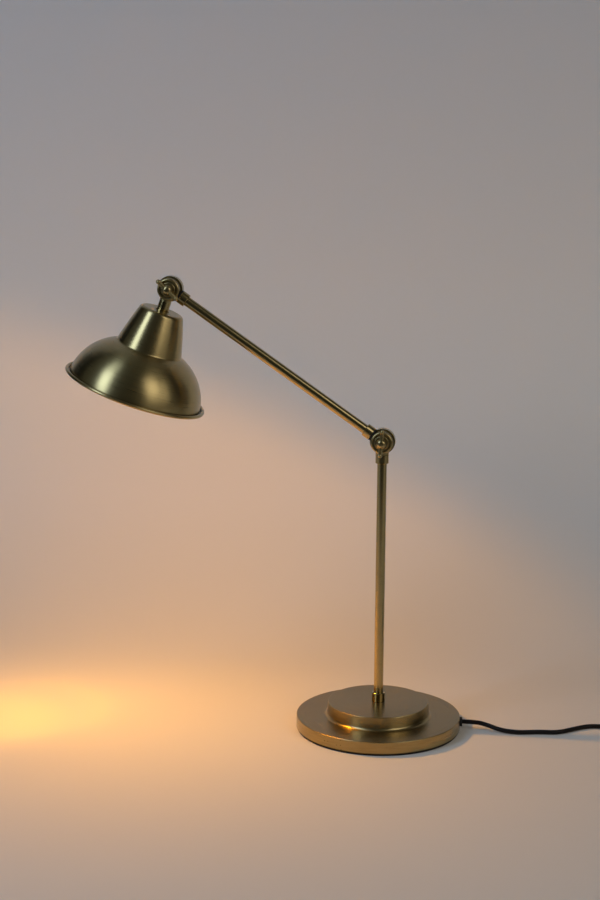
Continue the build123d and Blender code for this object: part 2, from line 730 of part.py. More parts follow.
# Coil of the put-away length: spirals in on the floor, climbs, and spirals out on top
layer = CORD_DIAMETER + COIL_GAP
coil_floor = TIE_THICKNESS + TIE_CLEARANCE + cord_radius
coil_x = switch_end + COIL_RUN_IN
tail_height = PLUG_HEIGHT / 2
forward = Vector(1, 0, 0)
spot = Vector(coil_x, SWITCH_Y, coil_floor)
coil_arcs = []
direction = 1
for k in range(COIL_HALF_TURNS):
    reach = 2 * (COIL_OUTER_RADIUS - k * layer / 2)
    step = Vector(0, -direction * reach, 0)
    coil_arcs.append((spot, spot + step, forward * direction))
    spot = spot + step
    direction = -direction
climb_radius = COIL_OUTER_RADIUS - COIL_HALF_TURNS * layer / 2
climb_swing = sqrt(climb_radius**2 + (layer / 2) ** 2)
climb_step = Vector(0, -direction * 2 * climb_radius, layer)
climb_half = spot + climb_step / 2 + forward * direction * climb_swing
coil_arcs.append((spot, climb_half, forward * direction))
coil_arcs.append((climb_half, spot + climb_step, climb_step))
spot = spot + climb_step
direction = -direction
for k in range(COIL_HALF_TURNS - 1, 0, -1):
    reach = 2 * (COIL_OUTER_RADIUS - k * layer / 2)
    step = Vector(0, -direction * reach, 0)
    coil_arcs.append((spot, spot + step, forward * direction))
    spot = spot + step
    direction = -direction
coil_arcs.append((spot, spot + Vector(COIL_OUTER_RADIUS, -COIL_OUTER_RADIUS, 0), forward))
spot = spot + Vector(COIL_OUTER_RADIUS, -COIL_OUTER_RADIUS, 0)
plug_face = Vector(spot.X, spot.Y - TAIL_RUN, tail_height)

with BuildPart() as cord_coil:
    with BuildLine() as coil_path:
        switch_exit = Vector(switch_end, SWITCH_Y, SWITCH_SPLIT)
        run_in = Line(switch_exit, switch_exit + forward * CORD_DIAMETER)
        half_down = (run_in @ 1 + coil_arcs[0][0]) / 2
        TangentArc(run_in @ 1, half_down, tangent=forward)
        TangentArc(coil_arcs[0][0], half_down, tangent=-forward)
        for begin, end, way in coil_arcs:
            TangentArc(begin, end, tangent=way)
        tail_end = plug_face + Vector(0, CORD_DIAMETER, 0)
        tail_half = (spot + tail_end) / 2
        TangentArc(spot, tail_half, tangent=(0, -1, 0))
        TangentArc(tail_end, tail_half, tangent=(0, 1, 0))
        Line(tail_end, plug_face)
    with BuildSketch(Plane(origin=run_in @ 0, z_dir=forward)):
        Circle(cord_radius)
    sweep(path=coil_path.wire())

coil_wire = coil_path.wire()
coil_length = coil_wire.length
samples = int(coil_length / 2)
points = [coil_wire @ (i / samples) for i in range(samples + 1)]
skip = int(3 * CORD_DIAMETER / (coil_length / samples))
nearest = min(
    (points[i] - points[j]).length for i in range(len(points)) for j in range(i + skip, len(points))
)
print("coil least gap to itself", round(nearest - CORD_DIAMETER, 3))
print("coil volume over section times length", cord_coil.part.volume / (pi * cord_radius**2 * coil_length))
print("cord length with the switch", round(lead_length + SWITCH_LENGTH + coil_length, 1))

tie_middle = Vector(coil_x, SWITCH_Y - COIL_OUTER_RADIUS, coil_floor + layer / 2)
tie_inner = climb_radius - cord_radius - TIE_CLEARANCE - layer / 2
tie_outer = COIL_OUTER_RADIUS + cord_radius + TIE_CLEARANCE
tie_height = layer + CORD_DIAMETER + 2 * TIE_CLEARANCE
with BuildPart() as coil_tie:
    with BuildSketch(Plane.XZ.offset(-tie_middle.Y)):
        with Locations((tie_middle.X - (tie_inner + tie_outer) / 2, tie_middle.Z)):
            Rectangle(tie_outer - tie_inner + 2 * TIE_THICKNESS, tie_height + 2 * TIE_THICKNESS)
            Rectangle(tie_outer - tie_inner, tie_height, mode=Mode.SUBTRACT)
    extrude(amount=TIE_WIDTH / 2, both=True)

# Plug
plug_way = Plane(origin=plug_face, x_dir=(1, 0, 0), z_dir=(0, -1, 0))
plug_shoulder = PLUG_RELIEF + PLUG_TAPER
plug_front = plug_shoulder + PLUG_GRIP
with BuildPart() as plug_body:
    with BuildSketch(plug_way):
        Circle(PLUG_RELIEF_RADIUS)
    with BuildSketch(plug_way.offset(PLUG_RELIEF)):
        Circle(PLUG_TAIL_RADIUS)
    loft()
    with BuildSketch(plug_way.offset(PLUG_RELIEF)):
        Circle(PLUG_TAIL_RADIUS)
    with BuildSketch(plug_way.offset(plug_shoulder)):
        RectangleRounded(PLUG_SHOULDER_WIDTH, PLUG_HEIGHT, PLUG_TAIL_RADIUS)
    loft()
    with BuildSketch(plug_way.offset(plug_shoulder)):
        RectangleRounded(PLUG_SHOULDER_WIDTH, PLUG_HEIGHT, PLUG_TAIL_RADIUS)
    with BuildSketch(plug_way.offset(plug_front)):
        RectangleRounded(PLUG_WIDTH, PLUG_HEIGHT, PLUG_TAIL_RADIUS)
    loft()
    with BuildSketch(plug_way.offset(plug_front)):
        with GridLocations(PIN_SPACING, 0, 2, 1):
            Circle(PIN_RADIUS)
    extrude(amount=PIN_SLEEVE)
    with BuildSketch(plug_way.offset(plug_front - PIN_SEAT)):
        with GridLocations(PIN_SPACING, 0, 2, 1):
            Circle(PIN_RADIUS / 2 + FIT)
    extrude(amount=PIN_SEAT + PIN_SLEEVE, mode=Mode.SUBTRACT)

with BuildPart() as plug_pins:
    with BuildSketch(plug_way.offset(plug_front - PIN_SEAT + FIT)):
        with GridLocations(PIN_SPACING, 0, 2, 1):
            Circle(PIN_RADIUS / 2)
    extrude(amount=PIN_SEAT + PIN_SLEEVE - FIT)
    with BuildSketch(plug_way.offset(plug_front + PIN_SLEEVE)):
        with GridLocations(PIN_SPACING, 0, 2, 1):
            Circle(PIN_RADIUS)
    extrude(amount=PIN_LENGTH - PIN_SLEEVE)

pieces = {
    "base_cover": base_cover.part,
    "base_weight": base_weight.part,
    "base_pad": base_pad.part,
    "base_lock_washer": base_lock_washer.part,
    "base_lock_nut": base_lock_nut.part,
    "base_nipple": base_nipple.part,
    "cable_grommet": cable_grommet.part,
    "stem_foot_collar": stem_foot_collar,
    "stem_tube": stem_tube,
    "stem_top_collar": stem_top_collar,
    "stem_cable": stem_cable,
    "elbow_front_half": elbow_front_half,
    "elbow_rear_half": elbow_rear_half,
    "elbow_friction_washer": elbow_friction_washer,
    "elbow_ring_washer": elbow_ring_washer,
    "elbow_pivot_bolt": elbow_pivot_bolt,
    "elbow_thumb_nut": elbow_thumb_nut,
    "arm_lower_band": arm_lower_band,
    "arm_lower_collar": arm_lower_collar,
    "arm_tube": arm_tube,
    "arm_cable": arm_cable.part,
    "arm_upper_collar": arm_upper_collar,
    "arm_upper_band": arm_upper_band,
    "head_rear_half": head_rear_half,
    "head_front_half": head_front_half,
    "head_friction_washer": head_friction_washer,
    "head_ring_washer": head_ring_washer,
    "head_pivot_bolt": head_pivot_bolt,
    "head_thumb_nut": head_thumb_nut,
    "shade_neck": shade_neck.part,
    "neck_ring": neck_ring,
    "neck_cable": neck_cable.part,
    "shade_cap": shade_cap.part,
    "shade_shoulder": shade_shoulder.part,
    "shade_dome": shade_dome.part,
    "shade_rim": shade_rim.part,
    "shade_nipple": shade_nipple.part,
    "shade_lock_nut": shade_lock_nut.part,
    "lampholder_cap": lampholder_cap.part,
    "lampholder_body": lampholder_body.part,
    "bulb_cap": bulb_cap.part,
    "bulb_glass": bulb_glass.part,
    "cord_lead": cord_lead,
    "switch_lower_shell": switch_lower_shell,
    "switch_upper_shell": switch_upper_shell.part,
    "switch_rocker": switch_rocker.part,
    "cord_coil": cord_coil.part,
    "coil_tie": coil_tie.part,
    "plug_body": plug_body.part,
    "plug_pins": plug_pins.part,
}
for name, part in pieces.items():
    keep(part, name)
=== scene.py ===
from collections import namedtuple
from math import cos, pi, radians, sin

import bmesh
import bpy
from mathutils import Matrix, Vector


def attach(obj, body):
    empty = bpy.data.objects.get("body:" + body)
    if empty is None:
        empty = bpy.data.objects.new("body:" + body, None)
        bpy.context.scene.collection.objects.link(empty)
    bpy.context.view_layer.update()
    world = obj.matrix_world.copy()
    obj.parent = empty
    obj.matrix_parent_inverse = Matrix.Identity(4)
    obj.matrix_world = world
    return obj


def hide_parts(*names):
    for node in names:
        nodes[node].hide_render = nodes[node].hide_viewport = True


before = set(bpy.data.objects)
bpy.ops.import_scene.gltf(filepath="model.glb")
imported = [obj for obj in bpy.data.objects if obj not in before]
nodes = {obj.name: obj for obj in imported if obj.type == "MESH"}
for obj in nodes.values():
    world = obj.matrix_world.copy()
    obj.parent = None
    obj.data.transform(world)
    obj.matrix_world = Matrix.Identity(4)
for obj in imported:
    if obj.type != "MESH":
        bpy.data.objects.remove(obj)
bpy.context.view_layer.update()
scene = bpy.context.scene
scene.view_settings.view_transform = "Standard"

# Places and directions shared with the model, in metres
ORIGIN = Vector((0, 0, 0))
UP = Vector((0, 0, 1))
ACROSS = Vector((0, -1, 0))
ELBOW = Vector((0, 0, 0.357))
ARM_RISE = radians(34.6)
ARM_LENGTH = 0.3115
ARM_WAY = Vector((-cos(ARM_RISE), 0, sin(ARM_RISE)))
HEAD = ELBOW + ARM_WAY * ARM_LENGTH
SHADE_TILT = radians(19.5)
SHADE_WAY = Vector((-sin(SHADE_TILT), 0, -cos(SHADE_TILT)))

# Camera, fitted to the lamp's outline in the photograph
CAMERA_PLACE = (0.1699, -2.0411, 0.7486)
CAMERA_AHEAD = Vector((-0.1281, 0.9728, -0.1930)).normalized()
CAMERA_LEVEL = Vector((0.9914, 0.1305, 0)).normalized()
CAMERA_ROLL = radians(0.384)
SENSOR_HEIGHT = 36
LENS = 70
CLIP_START = 0.05
CLIP_END = 400


def photo_camera():
    """Camera at the photograph's view."""
    data = bpy.data.cameras.new("camera")
    data.sensor_fit = "VERTICAL"
    data.sensor_height = SENSOR_HEIGHT
    data.lens = LENS
    data.clip_start = CLIP_START
    data.clip_end = CLIP_END
    camera = bpy.data.objects.new("camera", data)
    scene.collection.objects.link(camera)
    upright = CAMERA_LEVEL.cross(CAMERA_AHEAD)
    right = CAMERA_LEVEL * cos(CAMERA_ROLL) + upright * sin(CAMERA_ROLL)
    up = upright * cos(CAMERA_ROLL) - CAMERA_LEVEL * sin(CAMERA_ROLL)
    turn = Matrix((right, up, -CAMERA_AHEAD)).transposed().to_4x4()
    camera.matrix_world = Matrix.Translation(CAMERA_PLACE) @ turn
    return camera


scene.camera = photo_camera()

# Cord: one curve from the grommet, through the switch and the coil, to the plug
CORD_RADIUS = 0.00275
EXIT_REACH = 0.103
EXIT_TURN = radians(4.5)
EXIT_HEIGHT = 0.0095
SWITCH_LINE = 0.0325
LEAD_POINTS = (
    # Out of the grommet and down to the table
    (EXIT_REACH * cos(EXIT_TURN), EXIT_REACH * sin(EXIT_TURN), EXIT_HEIGHT),
    (0.120, 0.00944, EXIT_HEIGHT),
    (0.134, 0.007, 0.007),
    (0.150, 0.000, 0.0038),
    # Along the table, as in the photograph
    (0.171, -0.0025, 0.0029),
    (0.196, 0.004, 0.0029),
    (0.219, 0.0045, 0.0029),
    (0.238, 0.020, 0.0029),
    (0.258, 0.035, 0.0029),
    (0.284, 0.033, 0.0029),
    # Through the switch, under its rocker
    (0.304, SWITCH_LINE, 0.0075),
    (0.320, SWITCH_LINE, 0.0075),
    (0.329, SWITCH_LINE, 0.0060),
    (0.336, SWITCH_LINE, 0.0044),
    (0.347, SWITCH_LINE, 0.0042),
    (0.358, SWITCH_LINE, 0.0044),
    (0.365, SWITCH_LINE, 0.0060),
    (0.374, SWITCH_LINE, 0.0075),
    (0.3815, SWITCH_LINE, 0.0075),
    # On to the coil
    (0.3895, SWITCH_LINE, 0.0074),
    (0.4065, SWITCH_LINE, 0.00415),
)
COIL_START = (0.415, SWITCH_LINE, 0.00405)
COIL_OUTER = 0.0421
COIL_PITCH = 0.00595
COIL_INNERMOST = 7
COIL_STEPS = 12
TAIL_POINTS = ((0.006, 0), (0.015, -0.0002))  # way past the coil, height above its upper layer
PLUG_POINTS = ((0.032, 0.00695), (0.0425, 0.00685), (0.048, 0.00685))  # the same, above the table


def coil_arc(points, start, side, radius, rise=0, count=COIL_STEPS):
    """Adds the first control points of a half turn to a route, and gives the half turn's end.

    It bends towards -Y where side is 1, and towards +Y where side is -1.
    """
    middle = start + Vector((0, -side * radius, 0))
    reach = radius / cos(pi / COIL_STEPS / 2)
    for i in range(count):
        angle = pi * (i + 0.5) / COIL_STEPS
        points.append((
            middle.x + side * reach * sin(angle),
            middle.y + side * reach * cos(angle),
            start.z + rise * (1 - cos(angle)) / 2,
        ))
    return middle + Vector((0, -side * radius, rise))


def cord_route():
    """Control points of the cord, in the order it runs."""
    points = list(LEAD_POINTS)
    spot = Vector(COIL_START)
    side = 1
    # Inwards on the table, up at the innermost half turn, and outwards on top
    for k in (*range(COIL_INNERMOST + 1), *range(COIL_INNERMOST - 1, 0, -1)):
        rise = COIL_PITCH if k == COIL_INNERMOST else 0
        spot = coil_arc(points, spot, side, COIL_OUTER - k * COIL_PITCH / 2, rise)
        side = -side
    # A quarter turn, then straight on and down to the plug
    coil_arc(points, spot, side, COIL_OUTER, count=COIL_STEPS // 2)
    end = spot + Vector((COIL_OUTER, -COIL_OUTER, 0))
    for past, height in TAIL_POINTS:
        points.append((end.x, end.y - past, spot.z + height))
    for past, height in PLUG_POINTS:
        points.append((end.x, end.y - past, height))
    return points


def cord_curve(name, route, radius):
    """Round NURBS cord along a route."""
    data = bpy.data.curves.new(name, "CURVE")
    data.dimensions = "3D"
    spline = data.splines.new("NURBS")
    spline.points.add(len(route) - 1)
    for point, place in zip(spline.points, route):
        point.co = (*place, 1)
        point.radius = radius
    spline.order_u = 3
    spline.use_endpoint_u = True
    data.resolution_u = 6
    data.bevel_depth = 1  # times each point's radius
    data.bevel_resolution = 5
    obj = bpy.data.objects.new(name, data)
    scene.collection.objects.link(obj)
    return obj


route = cord_route()
cord = cord_curve("mains_cord", route, CORD_RADIUS)
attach(cord, "stand")
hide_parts("cord_lead", "cord_coil")


# Materials
NOISE_SPAN = (0.3, 0.7)  # where most values of a noise texture lie


class Sheet:
    """One material's node tree round a Principled shader, with short ways to add nodes."""

    # Sockets of the Mix node that carry colours
    MIX_FACTOR, MIX_A, MIX_B, MIX_RESULT = 0, 6, 7, 2

    def __init__(self, name):
        self.material = bpy.data.materials.new(name)
        self.material.use_nodes = True
        self.tree = self.material.node_tree
        self.tree.nodes.clear()
        self.out = self.node("ShaderNodeOutputMaterial")
        self.shader = self.node("ShaderNodeBsdfPrincipled")
        self.link(self.shader.outputs[0], self.out.inputs["Surface"])

    def node(self, kind, **settings):
        made = self.tree.nodes.new(kind)
        for key, value in settings.items():
            setattr(made, key, value)
        return made

    def link(self, source, target):
        self.tree.links.new(source, target)

    def feed(self, socket, value):
        """Links an output to a socket, or sets the socket to a number or an RGB colour."""
        if isinstance(value, bpy.types.NodeSocket):
            self.link(value, socket)
        else:
            socket.default_value = (*value, 1) if isinstance(value, tuple) else value

    def set(self, name, value):
        """Feeds an input of the Principled shader."""
        self.feed(self.shader.inputs[name], value)

    def math(self, operation, a, b=0.0, clamp=False):
        made = self.node("ShaderNodeMath", operation=operation, use_clamp=clamp)
        self.feed(made.inputs[0], a)
        self.feed(made.inputs[1], b)
        return made.outputs[0]

    def times(self, first, *others):
        """Product of values."""
        for other in others:
            first = self.math("MULTIPLY", first, other)
        return first

    def blend(self, a, b, share):
        """Two values added up, with a share of the first and the rest of the second."""
        return self.math("ADD", self.times(a, share), self.times(b, 1 - share))

    def ramp(self, value, low, high, to_low=0.0, to_high=1.0):
        """Value taken from the span low to high to another one, and held there outside it."""
        made = self.node("ShaderNodeMapRange", clamp=True)
        self.link(value, made.inputs["Value"])
        made.inputs["From Min"].default_value = low
        made.inputs["From Max"].default_value = high
        made.inputs["To Min"].default_value = to_low
        made.inputs["To Max"].default_value = to_high
        return made.outputs["Result"]

    def mix(self, factor, a, b):
        made = self.node("ShaderNodeMix", data_type="RGBA")
        self.feed(made.inputs[self.MIX_FACTOR], factor)
        self.feed(made.inputs[self.MIX_A], a)
        self.feed(made.inputs[self.MIX_B], b)
        return made.outputs[self.MIX_RESULT]

    def noise(self, vector, scale, detail, rough):
        made = self.node("ShaderNodeTexNoise")
        made.inputs["Scale"].default_value = scale
        made.inputs["Detail"].default_value = detail
        made.inputs["Roughness"].default_value = rough
        self.link(vector, made.inputs["Vector"])
        return made.outputs["Fac"]

    def bump(self, height, strength, distance):
        made = self.node("ShaderNodeBump")
        made.inputs["Strength"].default_value = strength
        made.inputs["Distance"].default_value = distance
        self.link(height, made.inputs["Height"])
        self.set("Normal", made.outputs[0])

    def coords(self):
        return self.node("ShaderNodeTexCoord").outputs["Object"]

    def split(self, vector):
        """X, Y and Z of a vector."""
        made = self.node("ShaderNodeSeparateXYZ")
        self.link(vector, made.inputs[0])
        return made.outputs

    def uneven(self, noise, rough, below, above):
        """Roughness that a noise takes a little below and above a middle value."""
        return self.ramp(noise, *NOISE_SPAN, rough - below, rough + above)

    def local(self, origin, way):
        """Object coordinates about an axis through origin along way."""
        place = self.node("ShaderNodeMapping", vector_type="TEXTURE")
        place.inputs["Location"].default_value = origin
        place.inputs["Rotation"].default_value = way.to_track_quat("Z", "Y").to_euler()
        self.link(self.coords(), place.inputs["Vector"])
        return place.outputs[0]

    def rays(self, *kinds):
        """1 for the kinds of ray named, 0 for others."""
        path = self.node("ShaderNodeLightPath")
        total = path.outputs[kinds[0]]
        for kind in kinds[1:]:
            total = self.math("MAXIMUM", total, path.outputs[kind])
        return total


BRASS_LIGHT = (0.47, 0.365, 0.160)
BRASS_MID = (0.42, 0.320, 0.135)
BRASS_DARK = (0.17, 0.115, 0.050)
# Dark of grime and pits, also used as painted shade in corners and a painted shadow at the base's foot
GRIME_AND_PAINTED_SHADE = (0.030, 0.022, 0.012)
LACQUER = 0.3
OPEN_SPAN = (0.35, 0.75)  # ambient occlusion from a corner to an open face
CLOUD_START = 0.52
LINE_SCALE = 1900
LINE_SWIRL = 0.0016
SMALL_RADIUS = 0.001  # stands in for smaller radii in divisions
BRUSH_TURN = 0.25  # quarter of a turn: highlights stretch across the lines
BRUSH_DEPTH = 0.0002
GRAIN_DEPTH = 0.0001

# Wear of the base cover, with painted shade on its tops and a painted shadow along its foot
UPWARD_SPAN = (0.75, 0.97)
# share of painted shade on faces that look up
TOP_PAINTED_SHADE = 0.55
DASH_SWIRL = 0.009
DASH_SPAN = (0.45, 0.70)
DASH_TONE = (0.12, 0.3)
# Painted shadow along the base cover's foot, just above the pad
FOOT_SPAN = (0.0026, 0.0036)
FOOT_PAINTED_SHADOW = 0.95
NICK_SCALE = 260
NICK_SPAN = (0.10, 0.22)
NICK_PATCHES = (0.56, 0.66)
NICK_RADII = (0.0985, 0.1000)
NICK_HEIGHTS = (0.0185, 0.0215)
NICK_ROUGH = 0.4
NICK_DEPTH = 2.0

Lathe = namedtuple("Lathe", "place radius height ring")


def lathe_coords(sheet, origin, way, swirl=LINE_SWIRL):
    """Coordinates about an axis. Ring changes fast across the turning lines and slowly along them."""
    place = sheet.local(origin, way)
    x, y, z = sheet.split(place)
    radius = sheet.math("SQRT", sheet.math("ADD", sheet.times(x, x), sheet.times(y, y)))
    safe = sheet.math("MAXIMUM", radius, SMALL_RADIUS)
    ring = sheet.node("ShaderNodeCombineXYZ")
    sheet.link(sheet.math("ADD", radius, z), ring.inputs[0])
    sheet.link(sheet.times(sheet.math("DIVIDE", x, safe), swirl), ring.inputs[1])
    sheet.link(sheet.times(sheet.math("DIVIDE", y, safe), swirl), ring.inputs[2])
    return Lathe(place, radius, z, ring.outputs[0])


def spin_tangent(sheet, origin, way):
    """Direction round the axis, for the stretched highlights of spun metal."""
    away = sheet.node("ShaderNodeVectorMath", operation="SUBTRACT")
    sheet.link(sheet.coords(), away.inputs[0])
    away.inputs[1].default_value = origin
    around = sheet.node("ShaderNodeVectorMath", operation="CROSS_PRODUCT")
    around.inputs[0].default_value = way
    sheet.link(away.outputs[0], around.inputs[1])
    world = sheet.node("ShaderNodeVectorTransform", vector_type="VECTOR",
                       convert_from="OBJECT", convert_to="WORLD")
    sheet.link(around.outputs[0], world.inputs[0])
    sheet.set("Tangent", world.outputs[0])


def with_clouds(sheet, tone, cloud, full, amount):
    """Tone with soft dark clouds, at their fullest where the noise reaches full."""
    return sheet.mix(sheet.ramp(cloud, CLOUD_START, full, 0, amount), tone, BRASS_DARK)


def with_grime_and_painted_shade(sheet, tone, reach, amount):
    """Tone with grime and painted shade in narrow corners and grooves, found by ambient occlusion."""
    shade = sheet.node("ShaderNodeAmbientOcclusion", samples=8, only_local=False)
    shade.inputs["Distance"].default_value = reach
    corner = sheet.ramp(shade.outputs["AO"], *OPEN_SPAN, 1, 0)
    return sheet.mix(sheet.times(corner, amount), tone, GRIME_AND_PAINTED_SHADE)


def with_painted_top_shade_and_dashes(sheet, tone, origin, way):
    """Tone darkened on faces that look up, a painted shade, with dark dashes along the turning lines
    elsewhere.
    """
    normal = sheet.node("ShaderNodeNewGeometry").outputs["Normal"]
    upward = sheet.ramp(sheet.split(normal)["Z"], *UPWARD_SPAN)
    tone = sheet.mix(sheet.times(upward, TOP_PAINTED_SHADE), tone, BRASS_DARK)
    ring = lathe_coords(sheet, origin, way, DASH_SWIRL).ring
    dashes = sheet.noise(ring, scale=380, detail=3, rough=0.55)
    dash = sheet.times(sheet.ramp(dashes, *DASH_SPAN, *DASH_TONE), sheet.math("SUBTRACT", 1, upward))
    return sheet.mix(dash, tone, BRASS_DARK)


def edge_nicks(sheet, lathe):
    """1 in small pits, which lie in patches on the lower side of the base, and 0 elsewhere."""
    spots = sheet.node("ShaderNodeTexVoronoi", feature="F1")
    spots.inputs["Scale"].default_value = NICK_SCALE
    spots.inputs["Randomness"].default_value = 1.0
    sheet.link(lathe.place, spots.inputs["Vector"])
    patches = sheet.noise(lathe.place, scale=35, detail=3, rough=0.6)
    return sheet.times(
        sheet.ramp(spots.outputs["Distance"], *NICK_SPAN, 1, 0),
        sheet.ramp(patches, *NICK_PATCHES),
        sheet.ramp(lathe.radius, *NICK_RADII),
        sheet.ramp(lathe.height, *NICK_HEIGHTS, 1, 0),
    )


def spun_brass(name, origin, way, rough, lines, spin, worn_and_shaded=False):
    """Antique brass with fine spinning lines round an axis, and for the base cover its wear, with
    painted shade on its tops and a painted shadow at its foot.
    """
    sheet = Sheet(name)
    lathe = lathe_coords(sheet, origin, way)
    fine = sheet.noise(lathe.ring, LINE_SCALE, detail=2, rough=0.6)
    broad = sheet.noise(lathe.ring, scale=420, detail=3, rough=0.55)
    cloud = sheet.noise(lathe.place, scale=16, detail=4, rough=0.6)
    streak = sheet.blend(fine, broad, share=0.65)
    tone = sheet.mix(sheet.ramp(streak, *NOISE_SPAN), BRASS_MID, BRASS_LIGHT)
    tone = with_clouds(sheet, tone, cloud, full=0.85, amount=0.3)
    # Grime and painted shade in the corners and grooves
    tone = with_grime_and_painted_shade(sheet, tone, reach=0.004, amount=0.6)
    roughness = sheet.uneven(streak, rough, below=0.04, above=0.05)
    depth = streak
    if worn_and_shaded:
        # Painted shade on the tops, and dark dashes along the turning lines
        tone = with_painted_top_shade_and_dashes(sheet, tone, origin, way)
        # Painted shadow along the foot, just above the pad
        tone = sheet.mix(sheet.ramp(lathe.height, *FOOT_SPAN, FOOT_PAINTED_SHADOW, 0), tone, GRIME_AND_PAINTED_SHADE)
        nick = edge_nicks(sheet, lathe)
        tone = sheet.mix(nick, tone, GRIME_AND_PAINTED_SHADE)
        roughness = sheet.math("ADD", roughness, sheet.times(nick, NICK_ROUGH))
        depth = sheet.math("SUBTRACT", depth, sheet.times(nick, NICK_DEPTH))
    sheet.set("Base Color", tone)
    sheet.set("Roughness", roughness)
    sheet.set("Metallic", 1.0)
    sheet.set("Coat Weight", LACQUER)
    sheet.set("Coat Roughness", 0.25)
    sheet.set("Anisotropic", spin)
    sheet.set("Anisotropic Rotation", BRUSH_TURN)
    spin_tangent(sheet, origin, way)
    sheet.bump(depth, strength=lines, distance=BRUSH_DEPTH)
    return sheet.material


def turned_brass(name, origin, way, rough):
    """Smooth, glossier antique brass with faint lines round an axis, a thin patina, and grime and
    painted shade in its corners.
    """
    sheet = Sheet(name)
    lathe = lathe_coords(sheet, origin, way)
    fine = sheet.noise(lathe.ring, LINE_SCALE, detail=2, rough=0.5)
    cloud = sheet.noise(lathe.place, scale=70, detail=4, rough=0.6)
    tone = sheet.mix(sheet.ramp(fine, *NOISE_SPAN), BRASS_MID, BRASS_LIGHT)
    tone = with_clouds(sheet, tone, cloud, full=0.82, amount=0.25)
    # Grime and painted shade in the corners and grooves
    tone = with_grime_and_painted_shade(sheet, tone, reach=0.002, amount=0.35)
    wear = sheet.blend(cloud, fine, share=0.6)
    sheet.set("Base Color", tone)
    sheet.set("Roughness", sheet.uneven(wear, rough, below=0.02, above=0.05))
    sheet.set("Metallic", 1.0)
    sheet.set("Coat Weight", LACQUER)
    sheet.set("Coat Roughness", 0.15)
    sheet.bump(fine, strength=0.02, distance=GRAIN_DEPTH)
    return sheet.material


def plain(name, colour, rough, metal=0.0, grain=1500, depth=0.2, mottle=0.3, shine=0.5):
    """Moulded, cast or plated surface with a fine grain and slightly uneven colour."""
    sheet = Sheet(name)
    coords = sheet.coords()
    fine = sheet.noise(coords, grain, detail=3, rough=0.6)
    cloud = sheet.noise(coords, scale=60, detail=3, rough=0.5)
    darker = tuple(c * (1 - mottle) for c in colour)
    lighter = tuple(c * (1 + mottle) for c in colour)
    sheet.set("Base Color", sheet.mix(sheet.ramp(cloud, *NOISE_SPAN), darker, lighter))
    sheet.set("Roughness", sheet.uneven(fine, rough, below=0.06, above=0.08))
    sheet.set("Metallic", metal)
    sheet.set("Specular IOR Level", shine)
    sheet.bump(fine, strength=depth, distance=GRAIN_DEPTH)
    return sheet.material


GLASS_TONES = ((0.86, 0.85, 0.82), (0.93, 0.92, 0.90))
GLASS_GLOW = (1.0, 0.72, 0.36)
GLOW_MIDDLE = 2.2
GLOW_RIM = 0.9


def frosted_glass(name):
    """White frosted bulb glass, lit from inside."""
    sheet = Sheet(name)
    coords = sheet.coords()
    fine = sheet.noise(coords, scale=2500, detail=2, rough=0.6)
    cloud = sheet.noise(coords, scale=80, detail=2, rough=0.5)
    rim = sheet.node("ShaderNodeLayerWeight")
    rim.inputs["Blend"].default_value = 0.4
    glow = sheet.ramp(rim.outputs["Facing"], 0, 1, GLOW_MIDDLE, GLOW_RIM)
    sheet.set("Base Color", sheet.mix(cloud, *GLASS_TONES))
    sheet.set("Roughness", sheet.ramp(fine, *NOISE_SPAN, 0.35, 0.5))
    sheet.set("Transmission Weight", 0.35)
    sheet.set("IOR", 1.5)
    sheet.set("Coat Weight", 0.6)
    sheet.set("Coat Roughness", 0.12)
    sheet.set("Emission Color", GLASS_GLOW)
    sheet.set("Emission Strength", sheet.times(sheet.rays("Is Camera Ray", "Is Glossy Ray"), glow))
    sheet.bump(fine, strength=0.1, distance=GRAIN_DEPTH)
    return sheet.material


def paint(material, *names):
    """Gives CAD nodes a material."""
    for name in names:
        obj = nodes[name]
        if not obj.material_slots:
            obj.data.materials.append(material)
        for slot in obj.material_slots:
            slot.material = material


paint(
    spun_brass("base_brass", ORIGIN, UP, rough=0.30, lines=0.10, spin=0.5, worn_and_shaded=True),
    "base_cover",
)
paint(
    spun_brass("shade_brass", HEAD, SHADE_WAY, rough=0.30, lines=0.008, spin=0.68),
    "shade_cap", "shade_shoulder", "shade_dome", "shade_rim",
)
paint(
    turned_brass("stem_brass", ORIGIN, UP, rough=0.15),
    "stem_foot_collar", "stem_tube", "stem_top_collar",
)
paint(
    turned_brass("arm_brass", ELBOW, ARM_WAY, rough=0.19),
    "arm_lower_collar", "arm_tube", "arm_upper_collar",
)
paint(
    turned_brass("elbow_brass", ELBOW, ACROSS, rough=0.28),
    "elbow_front_half", "elbow_rear_half", "elbow_ring_washer", "elbow_thumb_nut",
)
paint(
    turned_brass("head_brass", HEAD, ACROSS, rough=0.28),
    "head_front_half", "head_rear_half", "head_ring_washer", "head_thumb_nut",
)
paint(
    turned_brass("neck_brass", HEAD, SHADE_WAY, rough=0.16),
    "shade_neck", "neck_ring",
)
paint(
    plain("plated_steel", (0.50, 0.47, 0.41), rough=0.32, metal=1.0, grain=1200, depth=0.1, mottle=0.12),
    "base_lock_washer", "base_lock_nut", "base_nipple", "elbow_pivot_bolt", "head_pivot_bolt",
    "shade_nipple", "shade_lock_nut",
)
paint(
    plain("cast_iron", (0.06, 0.06, 0.06), rough=0.75, metal=0.3, grain=700, depth=0.5),
    "base_weight",
)
paint(
    plain("black_pad", (0.006, 0.006, 0.005), rough=0.85, depth=0.4),
    "base_pad",
)
paint(
    plain("black_band", (0.005, 0.005, 0.005), rough=0.55, grain=1600, depth=0.1),
    "arm_lower_band", "arm_upper_band",
)
paint(
    plain("fibre", (0.05, 0.035, 0.022), rough=0.8, grain=2200, depth=0.4, mottle=0.4),
    "elbow_friction_washer", "head_friction_washer",
)
